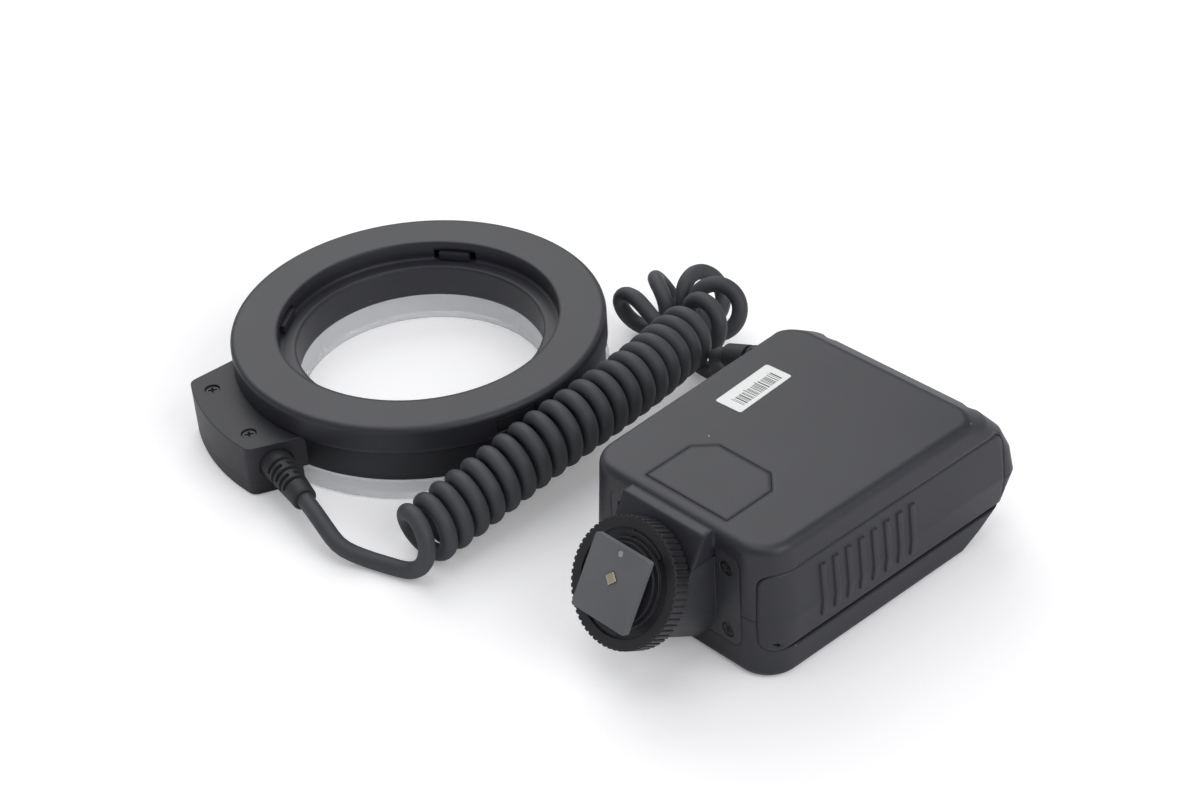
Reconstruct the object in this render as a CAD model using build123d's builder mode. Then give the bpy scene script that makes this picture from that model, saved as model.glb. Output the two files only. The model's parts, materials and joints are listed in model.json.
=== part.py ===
from build123d import *
import math
import os

# A ring flash: a light ring that latches over a lens adapter, a curly cord, and a
# control unit with a hot-shoe foot. Millimetres, +Z up. Both halves lie on a table:
# the ring on its clear diffuser, the control unit on its display side, with its foot
# towards -Y and its battery door towards +X.

os.makedirs("parts", exist_ok=True)

# Fits and gaps
running_fit = 0.08
seam_gap = 0.25
free_gap = 0.3

# Light ring, radii about its own axis and heights above the table
ring_radius = 55.0
view_radius = 36.4
seat_radius = 41.3
ring_height = 24.4
seat_depth = 6.0
ledge_thick = 1.8
seat_wall = 1.8
cover_wall = 2.0
cover_round = 1.5
ring_seam = 16.2
housing_radius = 53.9
housing_wall = 2.0
web_thick = 1.6
web_height = 12.6
view_wall = 1.6
diffuser_height = 6.2
diffuser_wall = 1.8
diffuser_inner_height = 8.6

# Light board under the web
board_thick = 1.6
board_inner_radius = 44.2
board_outer_radius = 51.4
led_count = 32
led_length = 3.5
led_width = 2.8
led_height = 1.4
led_radius = 47.6
reflector_plate = 0.8
reflector_wall = 1.0
reflector_inner_radius = 39.3
reflector_gap = 0.4

# Ring screws
ring_screw_count = 4
ring_screw_radius = 41.2
ring_screw_start = 79.0
boss_radius = 2.5
screw_shank_radius = 1.1
screw_head_radius = 2.1
screw_head_height = 1.6
screw_end_gap = 0.6

# Latch: two plates slide across the ring, each with one button and two tabs
latch_travel = 2.2
latch_angle = -11.0
tab_spread = 45.0
plate_thick = 1.0
plate_inner_radius = 45.6
plate_outer_radius = 50.4
tab_reach = 1.4
tab_length = 3.8
tab_width = 9.4
tab_height = 2.5
button_width = 12.4
button_height = 4.0
button_thick = 1.7
button_inset = 0.4

# Terminal arm on the ring
arm_angle = -103.7
arm_reach = 68.0
arm_tip_half = 20.2
arm_root_half = 24.3
arm_root = 44.0
arm_corner = 3.0
arm_wall = 1.8
arm_bottom = 0.4
arm_split = 4.2
arm_screw_radius = 62.4
arm_screw_spread = 12.0
arm_head_depth = 2.0
terminal_half = 8.0
terminal_thick = 1.2

# Strain reliefs of the two ends of the cord
relief_length = 20.0
relief_base_radius = 4.75
relief_tip_radius = 3.5
relief_neck_radius = 2.9
relief_flange_radius = 3.9
relief_flange = 1.1
relief_pocket = 0.65
relief_groove = 0.8
relief_groove_width = 1.4
relief_groove_count = 3
ring_relief_height = 9.2
ring_relief_radius = 61.05
ring_relief_angle = 20.3
ring_relief_heading = -15.0
ring_relief_slack = 1.0
unit_relief_length = 23.0
unit_relief_height = 25.0
unit_relief_far = 79.3
unit_relief_heading = 184.4
unit_relief_droop = 15.0
unit_relief_slack = 2.0
unit_relief_stand = 0.9

# Control unit, lengths from its own reference line near the foot
ring_to_unit_x = 133.5
ring_to_unit_y = -26.65
unit_height = 41.4
unit_seam = 19.0
unit_near = -2.5
unit_far = 91.0
unit_top_half = 31.6
unit_seam_half = 33.6
unit_bottom_half = 31.9
unit_flare = 0.0314
unit_near_round = 9.5
unit_far_round = 4.2
unit_wall = 2.0
unit_edge_round = 2.6
unit_foot_round = 2.2
# The far end's curved profile: height, far edge and the radius of its upright corners
unit_low_profile = (
    (0.0, 75.5, 8.0),
    (4.5, 82.5, 7.0),
    (10.5, 88.0, 5.0),
    (unit_seam, unit_far, unit_far_round),
)
unit_high_profile = (
    (unit_seam, unit_far, unit_far_round),
    (26.0, 90.2, 4.6),
    (32.0, 88.0, 6.0),
    (37.0, 83.8, 8.0),
    (unit_height, 77.0, 8.5),
)

# Battery door
door_near_x = 27.5
door_far = 84.5
door_low = 9.5
door_high = 33.5
door_corner = 3.5
door_low_corner = 0.3
door_travel = 4.0
door_bead = 2.0
door_pin_radius = 0.6
door_knuckle_start = 8.0
door_knuckle_length = 16.0
door_knuckle_count = 3
ear_length = 3.2
ear_radius = 1.1
ear_reach = 3.6
ear_post = 1.4
ear_shelf = 0.4
ear_drop = 4.0
grip_count = 8
grip_pitch = 4.7
grip_width = 1.9
grip_rise = 0.5
grip_start = 16.0
grip_low = 14.2
grip_high = 30.0

# Batteries and their tray
cell_count = 4
cell_radius = 7.25
cell_length = 48.5
cell_nub_radius = 2.6
cell_nub = 1.6
cell_pitch = 15.2
cell_first = 14.0
cell_height = 21.3
cell_start = -20.6
tray_wall = 1.3
tray_gap = 0.15
tray_open = 1.0
contact_thick = 0.4
contact_width = 9.0

# Circuit board, display and controls on the lower side
main_board_low = 6.5
main_board_thick = 1.6
main_board_half = 27.0
main_board_near = 7.0
main_board_corner = 6.0
main_board_far = 76.0
post_x = 23.5
post_near = 12.0
post_far = 62.0
post_radius = 2.5
post_shoulder = 3.2
window_width = 36.0
window_depth = 22.0
window_far = 58.0
window_thick = 1.2
window_recess = 0.4
window_lip = 1.2
module_height = 3.4
module_margin = 1.5
key_radius = 4.0
key_flange = 1.1
key_flange_thick = 0.8
key_recess = 0.3
key_travel = 0.5
key_stem_radius = 1.2
key_places = ((-18.0, 36.0), (-6.0, 36.0), (6.0, 36.0), (-18.0, 22.0))
key_names = ("mode_button", "plus_button", "minus_button", "test_button")
knob_place = (8.0, 22.0)
knob_length = 6.2
knob_width = 4.6
knob_travel = 4.0
lamp_place = (18.0, 36.0)
lamp_radius = 1.5
capacitor_radius = 5.0
capacitor_length = 26.0
capacitor_far = 74.2

# Details on the upper side
badge_half = 14.0
badge_near = 2.5
badge_far = 23.7
badge_corner = 5.0
badge_depth = 0.8
badge_groove = 0.2
label_width = 8.8
label_length = 21.3
label_thick = 0.15
label_place = (-19.3, 47.9)
label_turn = 3.0
shell_screw_x = 24.5
shell_screw_far = 84.4
shell_screw_recess = 2.4
shell_screw_floor = 26.0
shell_screw_bite = 4.5
sleeve_wall = 1.4

# Hot-shoe foot, its lock wheel and the neck that carries them
shoe_tilt = 31.0
shoe_out = -25.2
shoe_height = 30.7
foot_width = 18.6
foot_length = 20.0
foot_thick = 2.0
foot_corner = 0.5
stem_radius = 6.25
pressure_thick = 1.0
pressure_radius = 10.5
pressure_travel = 1.2
closed_gap = 0.8
wheel_start = 5.1
wheel_thick = 5.0
wheel_radius = 17.0
wheel_knurls = 60
wheel_knurl_depth = 0.4
wheel_dish_radius = 14.0
wheel_dish_depth = 0.7
neck_start = 11.2
neck_half = 14.0
neck_bore = 4.0
spigot_length = 4.0
hood_height = 33.0
contact_offset = 1.4
contact_side = 2.6
contact_rise = 0.4
contact_travel = 0.6
contact_length = 2.6
pin_offset = 8.0
pin_radius = 0.9

# Bracket set into the near face, with its four screws
bracket_half = 22.4
bracket_low = 8.0
bracket_high = 36.0
bracket_thick = 1.6
bracket_corner = 3.0
bracket_screw_x = 18.0
bracket_screw_margin = 4.5
bracket_screw_low = 3.5
bracket_pad = 3.7
bracket_screw_length = 3.4

# Curly cord: tube, curls and the route of their axis (x, y, z)
cord_radius = 2.4
curl_radius = 7.2
curl_bend_radius = 6.8
curl_pitch = 5.6
bend_pitch = 11.6
start_pitch = 18.0
curl_start = -90.0
curl_spare_turn = 210.0
bend_start = 122.0
bend_length = 46.0
bend_ease = 8.0
cord_axis = (
    (5.2, -61.0, 9.8),
    (5.7, -52.9, 10.1),
    (6.1, -38.1, 11.9),
    (6.7, -24.5, 14.4),
    (7.4, -11.0, 16.7),
    (7.8, 1.3, 18.0),
    (7.3, 14.6, 18.4),
    (5.9, 28.3, 18.2),
    (3.7, 39.1, 17.5),
    (0.5, 52.0, 16.8),
    (-2.0, 64.5, 15.6),
    (-3.9, 72.2, 14.8),
    (-10.2, 77.7, 13.6),
    (-18.6, 77.7, 12.0),
    (-25.1, 72.2, 10.6),
    (-26.8, 64.9, 9.9),
    (-26.0, 58.0, 9.8),
)
ring_lead_route = (
    (-18.4, -66.2, 6.4),
    (-10.6, -66.6, 3.1),
)
unit_lead_route = (
    (12.4, 54.9, 11.6),
    (9.6, 57.6, 5.8),
    (3.2, 59.6, 2.9),
    (-3.8, 60.6, 3.1),
    (-9.8, 60.4, 6.6),
)
lead_end_run = 6.0

# Places worked out from the sizes above
overall_x = ring_radius + ring_to_unit_x + unit_seam_half + unit_flare * (unit_far - unit_far_round)
overall_y = unit_far + ring_to_unit_y + arm_reach
ring_x = ring_radius - overall_x / 2
ring_y = arm_reach - overall_y / 2
unit_x = ring_x + ring_to_unit_x
unit_y = ring_y + ring_to_unit_y
latch_a_angle = latch_angle + 180
latch_b_angle = latch_angle
ledge_height = ring_height - seat_depth
pressure_start = foot_thick + closed_gap + pressure_travel
door_knuckle_gap = ear_length + door_travel + 3 * free_gap


def write(piece, name):
    """Label a finished piece and write it as its own STEP file."""
    piece.part.label = name
    export_step(piece.part, f"parts/{name}.step")


def polar(radius, angle):
    """The x and y of a point at a radius and an angle in degrees."""
    turn = math.radians(angle)
    return radius * math.cos(turn), radius * math.sin(turn)


def ring_level(height, angle=0.0):
    """A level plane on the ring's axis, its X pointing out at an angle."""
    return Plane((ring_x, ring_y, height), x_dir=(*polar(1, angle), 0))


def unit_level(height):
    """A level plane at the control unit's reference point."""
    return Plane((unit_x, unit_y, height))


def ring_turned(*corners):
    """Turn a closed outline of (radius, height) corners about the ring's axis."""
    with BuildPart() as turned:
        with BuildSketch(Plane((ring_x, ring_y, 0), x_dir=(1, 0, 0), z_dir=(0, -1, 0))):
            Polygon(*corners, align=None)
        revolve(axis=Axis((ring_x, ring_y, 0), (0, 0, 1)))
    return turned.part


def ring_band(outer, inner, low, high):
    """A flat band about the ring's axis."""
    with BuildPart() as band:
        with BuildSketch(ring_level(low)):
            Circle(outer)
            Circle(inner, mode=Mode.SUBTRACT)
        extrude(amount=high - low)
    return band.part


def ring_bar(angle, inner, outer, width, low, high):
    """A straight bar that points out from the ring's axis at an angle."""
    with BuildPart() as bar:
        with BuildSketch(ring_level(low, angle)):
            with Locations(((inner + outer) / 2, 0)):
                Rectangle(outer - inner, width)
        extrude(amount=high - low)
    return bar.part


def ring_rods(angles, place_radius, radius, low, high):
    """Upright rods at several angles about the ring's axis."""
    with BuildPart() as rods:
        with BuildSketch(ring_level(low)):
            with Locations(*[polar(place_radius, angle) for angle in angles]):
                Circle(radius)
        extrude(amount=high - low)
    return rods.part


def unit_bar(x, y, width, depth, low, high, corner=0.0):
    """An upright bar in the control unit, centred at x and y."""
    with BuildPart() as bar:
        with BuildSketch(unit_level(low)):
            with Locations((x, y)):
                if corner > 0:
                    RectangleRounded(width, depth, corner)
                else:
                    Rectangle(width, depth)
        extrude(amount=high - low)
    return bar.part


def unit_rods(places, radius, low, high):
    """Upright rods in the control unit."""
    with BuildPart() as rods:
        with BuildSketch(unit_level(low)):
            with Locations(*places):
                Circle(radius)
        extrude(amount=high - low)
    return rods.part


# Light ring

latch_angles = (latch_a_angle, latch_b_angle)
tab_angles = [angle + 180 + side for angle in latch_angles for side in (-tab_spread, tab_spread)]
ring_screw_angles = [ring_screw_start + turn * 360 / ring_screw_count for turn in range(ring_screw_count)]
cover_top_low = ring_height - cover_wall
ledge_low = ledge_height - ledge_thick
window_half = tab_width / 2 + latch_travel * math.sin(math.radians(tab_spread)) + free_gap
slider_low_a = ledge_height + free_gap
slider_low_b = slider_low_a + plate_thick + free_gap
button_low = slider_low_a - 1.0
web_low = web_height - web_thick
web_inner_radius = view_radius + 2.4

with BuildPart() as ring_rear_cover:
    add(ring_turned(
        (view_radius, diffuser_inner_height), (view_radius + view_wall, diffuser_inner_height),
        (view_radius + view_wall, ledge_low), (seat_radius + seat_wall, ledge_low),
        (seat_radius + seat_wall, cover_top_low), (ring_radius - cover_wall, cover_top_low),
        (ring_radius - cover_wall, ring_seam), (ring_radius, ring_seam),
        (ring_radius, ring_height), (seat_radius, ring_height),
        (seat_radius, ledge_height), (view_radius, ledge_height),
    ))
    fillet(ring_rear_cover.edges().group_by(Axis.Z)[-1].sort_by(SortBy.RADIUS)[-1], cover_round)
    for angle in tab_angles:
        add(ring_bar(angle, seat_radius - 2, seat_radius + seat_wall + 1, 2 * window_half,
                     ledge_height, slider_low_a + tab_height + free_gap), mode=Mode.SUBTRACT)
    for angle in latch_angles:
        add(ring_bar(angle, ring_radius - cover_wall - 2, ring_radius + 1, button_width + 2 * free_gap,
                     button_low - free_gap, button_low + button_height + free_gap), mode=Mode.SUBTRACT)
    add(ring_rods(ring_screw_angles, ring_screw_radius, boss_radius, web_height, ledge_low))
    add(ring_rods(ring_screw_angles, ring_screw_radius, screw_shank_radius + running_fit,
                  web_height, ledge_low), mode=Mode.SUBTRACT)
write(ring_rear_cover, "ring_rear_cover")


def latch_slider(angle, low, other_angle):
    """A sliding latch plate with its button at an angle and two tabs across the ring."""
    high = low + plate_thick
    pad_outer = ring_radius - button_inset
    pad_inner = pad_outer - button_thick
    tab_inner = seat_radius - tab_reach
    clear_low = slider_low_a - 1
    clear_high = slider_low_b + plate_thick + 1
    with BuildPart() as slider:
        add(ring_band(plate_outer_radius, plate_inner_radius, low, high))
        add(ring_bar(other_angle, pad_inner - 2 * latch_travel - 0.7, plate_outer_radius + 1,
                     button_width + 4, clear_low, clear_high), mode=Mode.SUBTRACT)
        for side in (-tab_spread, tab_spread):
            tab_clear = tab_inner + tab_length + 2 * latch_travel * math.cos(math.radians(side)) + 0.6
            add(ring_bar(other_angle + 180 + side, plate_inner_radius - 2, tab_clear,
                         2 * window_half + 4, clear_low, clear_high), mode=Mode.SUBTRACT)
        with BuildSketch(ring_level(button_low, angle)):
            Circle(pad_outer)
            Circle(pad_inner, mode=Mode.SUBTRACT)
            with Locations((pad_inner, 0)):
                Rectangle(4 * button_thick, button_width, mode=Mode.INTERSECT)
        extrude(amount=button_height)
        add(ring_bar(angle, plate_outer_radius - 1, pad_inner + button_thick / 2, button_width - 3,
                     low, high))
        for side in (-tab_spread, tab_spread):
            tab_angle = angle + 180 + side
            add(ring_bar(tab_angle, tab_inner, tab_inner + tab_length, tab_width,
                         slider_low_a, slider_low_a + tab_height))
            add(ring_bar(tab_angle, tab_inner + tab_length / 2, plate_inner_radius + 1, tab_width,
                         low, high))
    return slider


write(latch_slider(latch_a_angle, slider_low_a, latch_b_angle), "latch_slider_a")
write(latch_slider(latch_b_angle, slider_low_b, latch_a_angle), "latch_slider_b")


def arm_plan(inset, inner_radius):
    """The arm's outline from above, along X from the ring's axis, drawn in by an inset."""
    tip_x = math.sqrt(arm_reach**2 - arm_tip_half**2)
    with BuildSketch() as plan:
        with BuildLine():
            Polyline((tip_x, -arm_tip_half), (arm_root, -arm_root_half),
                     (arm_root, arm_root_half), (tip_x, arm_tip_half))
            ThreePointArc((tip_x, arm_tip_half), (arm_reach, 0), (tip_x, -arm_tip_half))
        make_face()
        fillet(plan.vertices().group_by(Axis.X)[-1], arm_corner)
        if inset > 0:
            offset(amount=-inset)
        Circle(inner_radius, mode=Mode.SUBTRACT)
    return plan.sketch


def arm_block(inset, inner_radius, low, high):
    """An upright block with the arm's outline."""
    with BuildPart() as block:
        with BuildSketch(ring_level(low, arm_angle)):
            add(arm_plan(inset, inner_radius))
        extrude(amount=high - low)
    return block.part


def relief_way(heading, droop=0.0):
    """The direction of a relief from its heading and how far it droops, in degrees."""
    x, y = polar(math.cos(math.radians(droop)), heading)
    return Vector(x, y, -math.sin(math.radians(droop)))


def relief_turned(base, way, *corners):
    """Turn an outline of (length, radius) corners about a relief's axis."""
    with BuildPart() as turned:
        with BuildSketch(Plane(base, x_dir=way, z_dir=way.cross(Vector(0, 0, 1)))):
            Polygon(*corners, align=None)
        revolve(axis=Axis(base, way))
    return turned.part


def relief_hole(base, way, start, back):
    """The hole in a wall that a relief sits in, stepped for its sleeve and its flange."""
    neck = relief_neck_radius + running_fit
    flange = relief_flange_radius + 2 * running_fit
    pocket = relief_base_radius + running_fit
    return relief_turned(base, way, (back - 4, 0), (back - 4, flange), (back, flange), (back, neck),
                         (start, neck), (start, pocket), (start + 5, pocket), (start + 5, 0))


def strain_relief(base, way, length, start, back):
    """A tapered sleeve with cut grooves, held behind its wall by a flange."""
    corners = [(back - relief_flange, 0), (back - relief_flange, relief_flange_radius),
               (back, relief_flange_radius), (back, relief_neck_radius),
               (start, relief_neck_radius), (start, relief_base_radius)]
    slope = (relief_tip_radius - relief_base_radius) / (length - start)
    for groove in range(relief_groove_count):
        place = start + (length - start) * (groove + 1) / (relief_groove_count + 1.5)
        radius = relief_base_radius + slope * (place - start)
        corners += [(place, radius), (place, radius - relief_groove),
                    (place + relief_groove_width, radius - relief_groove),
                    (place + relief_groove_width, radius + slope * relief_groove_width)]
    corners += [(length, relief_tip_radius), (length, 0)]
    with BuildPart() as relief:
        add(relief_turned(base, way, *corners))
    return relief


arm_inner_radius = ring_radius + free_gap
arm_screw_angles = [arm_angle - arm_screw_spread, arm_angle + arm_screw_spread]
arm_cavity_top = ring_seam - arm_wall
arm_screw_seat = ring_seam - arm_head_depth
arm_boss_low = arm_screw_seat - 2.6
relief_x, relief_y = polar(ring_relief_radius, arm_angle + ring_relief_angle)
ring_relief_base = Vector(ring_x + relief_x, ring_y + relief_y, ring_relief_height)
ring_relief_way = relief_way(ring_relief_heading)
ring_relief_back = -arm_wall - ring_relief_slack

with BuildPart() as ring_front_housing:
    add(ring_turned(
        (web_inner_radius, web_low), (housing_radius - housing_wall, web_low),
        (housing_radius - housing_wall, diffuser_height), (housing_radius, diffuser_height),
        (housing_radius, ring_seam), (housing_radius - housing_wall, ring_seam),
        (housing_radius - housing_wall, web_height), (web_inner_radius, web_height),
    ))
    add(ring_rods(ring_screw_angles, ring_screw_radius, screw_shank_radius + running_fit,
                  web_low, web_height), mode=Mode.SUBTRACT)
    add(arm_block(0, housing_radius - housing_wall / 2, diffuser_height, ring_seam))
    add(arm_block(0, arm_inner_radius, arm_split, diffuser_height))
    add(arm_block(arm_wall, arm_inner_radius + arm_wall, arm_split, arm_cavity_top), mode=Mode.SUBTRACT)
    add(ring_rods(arm_screw_angles, arm_screw_radius, screw_head_radius + arm_wall / 2,
                  arm_boss_low, arm_cavity_top))
    add(ring_rods(arm_screw_angles, arm_screw_radius, screw_head_radius + running_fit,
                  arm_screw_seat, ring_seam), mode=Mode.SUBTRACT)
    add(ring_rods(arm_screw_angles, arm_screw_radius, screw_shank_radius + running_fit,
                  arm_boss_low, arm_screw_seat), mode=Mode.SUBTRACT)
    add(relief_hole(ring_relief_base, ring_relief_way, -relief_pocket, ring_relief_back),
        mode=Mode.SUBTRACT)
write(ring_front_housing, "ring_front_housing")

terminal_low = arm_split + 2.8
arm_post_radius = 1.5
arm_boss_radius = boss_radius

with BuildPart() as arm_bottom_cover:
    add(arm_block(0, arm_inner_radius, arm_bottom, arm_split))
    add(ring_rods(arm_screw_angles, arm_screw_radius, arm_boss_radius, arm_split, arm_boss_low))
    add(ring_rods(arm_screw_angles, arm_screw_radius, screw_shank_radius + running_fit,
                  arm_split - 1, arm_boss_low), mode=Mode.SUBTRACT)
    add(ring_rods((arm_angle - 4, arm_angle + 4), arm_screw_radius - 2, arm_post_radius,
                  arm_split, terminal_low))
write(arm_bottom_cover, "arm_bottom_cover")

with BuildPart() as arm_terminal_board:
    add(ring_bar(arm_angle, arm_screw_radius - 4.4, arm_screw_radius + 1.6, 2 * terminal_half,
                 terminal_low, terminal_low + terminal_thick))
write(arm_terminal_board, "arm_terminal_board")

with BuildPart() as arm_screws:
    add(ring_rods(arm_screw_angles, arm_screw_radius, screw_head_radius,
                  arm_screw_seat, arm_screw_seat + screw_head_height))
    add(ring_rods(arm_screw_angles, arm_screw_radius, screw_shank_radius, arm_split, arm_screw_seat))
write(arm_screws, "arm_screws")

write(strain_relief(ring_relief_base, ring_relief_way, relief_length, -relief_pocket,
                    ring_relief_back), "ring_strain_relief")

with BuildPart() as ring_diffuser:
    add(ring_turned(
        (view_radius + 0.1, 0), (ring_radius, 0), (ring_radius, diffuser_height),
        (ring_radius - diffuser_wall, diffuser_height), (ring_radius - diffuser_wall, diffuser_wall),
        (view_radius + view_wall, diffuser_wall), (view_radius + view_wall, diffuser_inner_height),
        (view_radius + 0.1, diffuser_inner_height),
    ))
    fillet(ring_diffuser.edges().group_by(Axis.Z)[0].sort_by(SortBy.RADIUS)[-1], diffuser_wall / 2)
write(ring_diffuser, "ring_diffuser")

board_low = web_low - board_thick

with BuildPart() as led_board:
    add(ring_band(board_outer_radius, board_inner_radius, board_low, web_low))
write(led_board, "led_board")

with BuildPart() as ring_leds:
    with BuildSketch(ring_level(board_low - led_height)):
        with PolarLocations(led_radius, led_count):
            Rectangle(led_width, led_length)
    extrude(amount=led_height)
write(ring_leds, "ring_leds")

with BuildPart() as light_reflector:
    reflector_outer_radius = board_outer_radius
    reflector_low = diffuser_wall + reflector_gap
    plate_low = board_low - reflector_plate
    add(ring_turned(
        (reflector_inner_radius, reflector_low), (reflector_inner_radius + reflector_wall, reflector_low),
        (reflector_inner_radius + reflector_wall, plate_low),
        (reflector_outer_radius - reflector_wall, plate_low),
        (reflector_outer_radius - reflector_wall, reflector_low), (reflector_outer_radius, reflector_low),
        (reflector_outer_radius, board_low), (reflector_inner_radius, board_low),
    ))
    with BuildSketch(ring_level(plate_low)):
        with PolarLocations(led_radius, led_count):
            Rectangle(led_width + 2 * free_gap, led_length + 2 * free_gap)
    extrude(amount=reflector_plate, mode=Mode.SUBTRACT)
write(light_reflector, "light_reflector")

with BuildPart() as ring_screws:
    add(ring_rods(ring_screw_angles, ring_screw_radius, screw_head_radius,
                  web_low - screw_head_height, web_low))
    add(ring_rods(ring_screw_angles, ring_screw_radius, screw_shank_radius,
                  web_low, ledge_low - screw_end_gap))
write(ring_screws, "ring_screws")


# Control unit


def unit_half(height):
    """The half width of the control unit at its reference line, at a height."""
    if height < unit_seam:
        return unit_bottom_half + (unit_seam_half - unit_bottom_half) * height / unit_seam
    rise = (height - unit_seam) / (unit_height - unit_seam)
    return unit_seam_half - (unit_seam_half - unit_top_half) * rise


def unit_outline(height, far, far_corner, level, inset):
    """The control unit's rounded outline of one height, set at a level and drawn in."""
    near_y = unit_near + inset
    far_y = far - inset
    near_half = unit_half(height) + unit_flare * near_y - inset
    far_half = unit_half(height) + unit_flare * far_y - inset
    with BuildSketch(unit_level(level)) as outline:
        Polygon((-near_half, near_y), (near_half, near_y), (far_half, far_y), (-far_half, far_y),
                align=None)
        fillet(outline.vertices().group_by(Axis.Y)[0], unit_near_round - inset)
        fillet(outline.vertices().group_by(Axis.Y)[-1], far_corner - inset)
    return outline.sketch


def profile_block(profile, end_height, inset):
    """A block through the outlines of a profile, its end that is not the seam drawn in."""
    squeeze = 1 - inset / abs(end_height - unit_seam)
    with BuildPart() as block:
        loft([unit_outline(height, far, corner, unit_seam + (height - unit_seam) * squeeze, inset)
              for height, far, corner in profile], ruled=True)
    return block.part


def upper_block(inset=0.0):
    """The control unit's block above its seam."""
    return profile_block(unit_high_profile, unit_height, inset)


def lower_block(inset=0.0):
    """The control unit's block below its seam."""
    return profile_block(unit_low_profile, 0, inset)


def unit_block(inset=0.0):
    """The whole block of the control unit."""
    with BuildPart() as block:
        add(upper_block(inset))
        add(lower_block(inset))
    return block.part


def door_zone(gap=0.0):
    """The space of the battery door, widened all round by a gap."""
    reach = unit_far
    with BuildPart() as zone:
        with BuildSketch(Plane((unit_x, unit_y, 0), x_dir=(0, 1, 0), z_dir=(1, 0, 0))) as side:
            with Locations(((door_far + gap - reach) / 2, (door_low + door_high) / 2)):
                Rectangle(door_far + gap + reach, door_high - door_low + 2 * gap)
            fillet(side.vertices().group_by(Axis.Y)[-1], door_corner + gap)
            fillet(side.vertices().group_by(Axis.Y)[0], door_low_corner + gap)
        extrude(amount=reach)
        with BuildSketch(Plane((unit_x, unit_y - reach, 0), x_dir=(1, 0, 0), z_dir=(0, -1, 0))):
            with Locations((door_near_x - gap + reach / 2, (door_low + door_high) / 2)):
                RectangleRounded(reach, door_high - door_low + 2 * gap, door_corner + gap)
        extrude(amount=-2 * reach, mode=Mode.INTERSECT)
    return zone.part


hinge_height = door_low + door_bead
hinge_x = unit_half(hinge_height) - door_bead
hinge_origin = (unit_x + hinge_x, unit_y, hinge_height)
hinge_direction = (unit_flare, 1, 0)


def hinge_section(start):
    """A plane square to the door's hinge line: X out, Y up, at a length along the line."""
    away = Vector(*hinge_direction).normalized()
    origin = Vector(*hinge_origin) + away * start
    return Plane(origin, x_dir=away.cross(Vector(0, 0, 1)), z_dir=-away)


def hinge_rod(radius, start, end):
    """A rod along the door's hinge line."""
    with BuildPart() as rod:
        with BuildSketch(hinge_section(start)):
            Circle(radius)
        extrude(amount=-(end - start))
    return rod.part


def hinge_bar(left, right, low, high, start, end):
    """A bar along the door's hinge line, its section given from that line."""
    with BuildPart() as bar:
        with BuildSketch(hinge_section(start)):
            with Locations(((left + right) / 2, (low + high) / 2)):
                Rectangle(right - left, high - low)
        extrude(amount=-(end - start))
    return bar.part


knuckle_step = door_knuckle_length + door_knuckle_gap
knuckle_starts = [door_knuckle_start + turn * knuckle_step for turn in range(door_knuckle_count)]
slot_starts = [start + door_knuckle_length for start in knuckle_starts[:-1]]
hinge_end = knuckle_starts[-1] + door_knuckle_length
pin_bore = door_pin_radius + running_fit


def shoe_plane(inward):
    """A plane square to the foot's axis, Y up along the foot, at a depth behind its face."""
    tilt = math.radians(shoe_tilt)
    out = Vector(0, -math.cos(tilt), math.sin(tilt))
    face = Vector(unit_x, unit_y + shoe_out, shoe_height)
    return Plane(face - out * inward, x_dir=(1, 0, 0), z_dir=out)


def shoe_rod(radius, start, end, x=0.0, y=0.0):
    """A rod along the foot's axis between two depths behind its face."""
    with BuildPart() as rod:
        with BuildSketch(shoe_plane(start)):
            with Locations((x, y)):
                Circle(radius)
        extrude(amount=-(end - start))
    return rod.part


def near_plane(inward=0.0):
    """A plane in the control unit's near face: X across, Y up."""
    return Plane((unit_x, unit_y + unit_near + inward, 0), x_dir=(1, 0, 0), z_dir=(0, -1, 0))


def near_block(half, low, high, corner, start, end):
    """A block with a rounded outline, set from the near face inwards."""
    with BuildPart() as block:
        with BuildSketch(near_plane(start)):
            with Locations((0, (low + high) / 2)):
                RectangleRounded(2 * half, high - low, corner)
        extrude(amount=-(end - start))
    return block.part


def neck_block(low, high):
    """The neck between the wheel and the near face, kept between two heights."""
    reach = 40.0
    with BuildPart() as neck:
        with BuildSketch(shoe_plane(neck_start)):
            Circle(neck_half)
            with Locations((0, reach / 2)):
                Rectangle(2 * neck_half, reach)
        extrude(amount=-reach)
        with BuildSketch(unit_level(low)):
            with Locations((0, unit_near - reach / 2)):
                Rectangle(4 * neck_half, reach)
        extrude(amount=high - low, mode=Mode.INTERSECT)
    return neck.part


bracket_screw_heights = (bracket_low + bracket_screw_low, bracket_high - bracket_screw_margin)
bracket_screw_places = [(x, z) for x in (-bracket_screw_x, bracket_screw_x)
                        for z in bracket_screw_heights]


def bracket_rods(radius, start, end):
    """Rods at the bracket's four screws, from the near face inwards."""
    with BuildPart() as rods:
        with BuildSketch(near_plane(start)):
            with Locations(*bracket_screw_places):
                Circle(radius)
        extrude(amount=-(end - start))
    return rods.part


shell_screw_places = [(-shell_screw_x, shell_screw_far), (shell_screw_x, shell_screw_far)]
board_posts = [(x, y) for x in (-post_x, post_x) for y in (post_near, post_far)]
unit_relief_base = Vector(unit_x - unit_half(unit_relief_height) - unit_flare * unit_relief_far,
                          unit_y + unit_relief_far, unit_relief_height)
unit_relief_way = relief_way(unit_relief_heading, unit_relief_droop)
unit_relief_back = -unit_wall - unit_relief_slack
badge_low = unit_height - badge_depth


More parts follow.
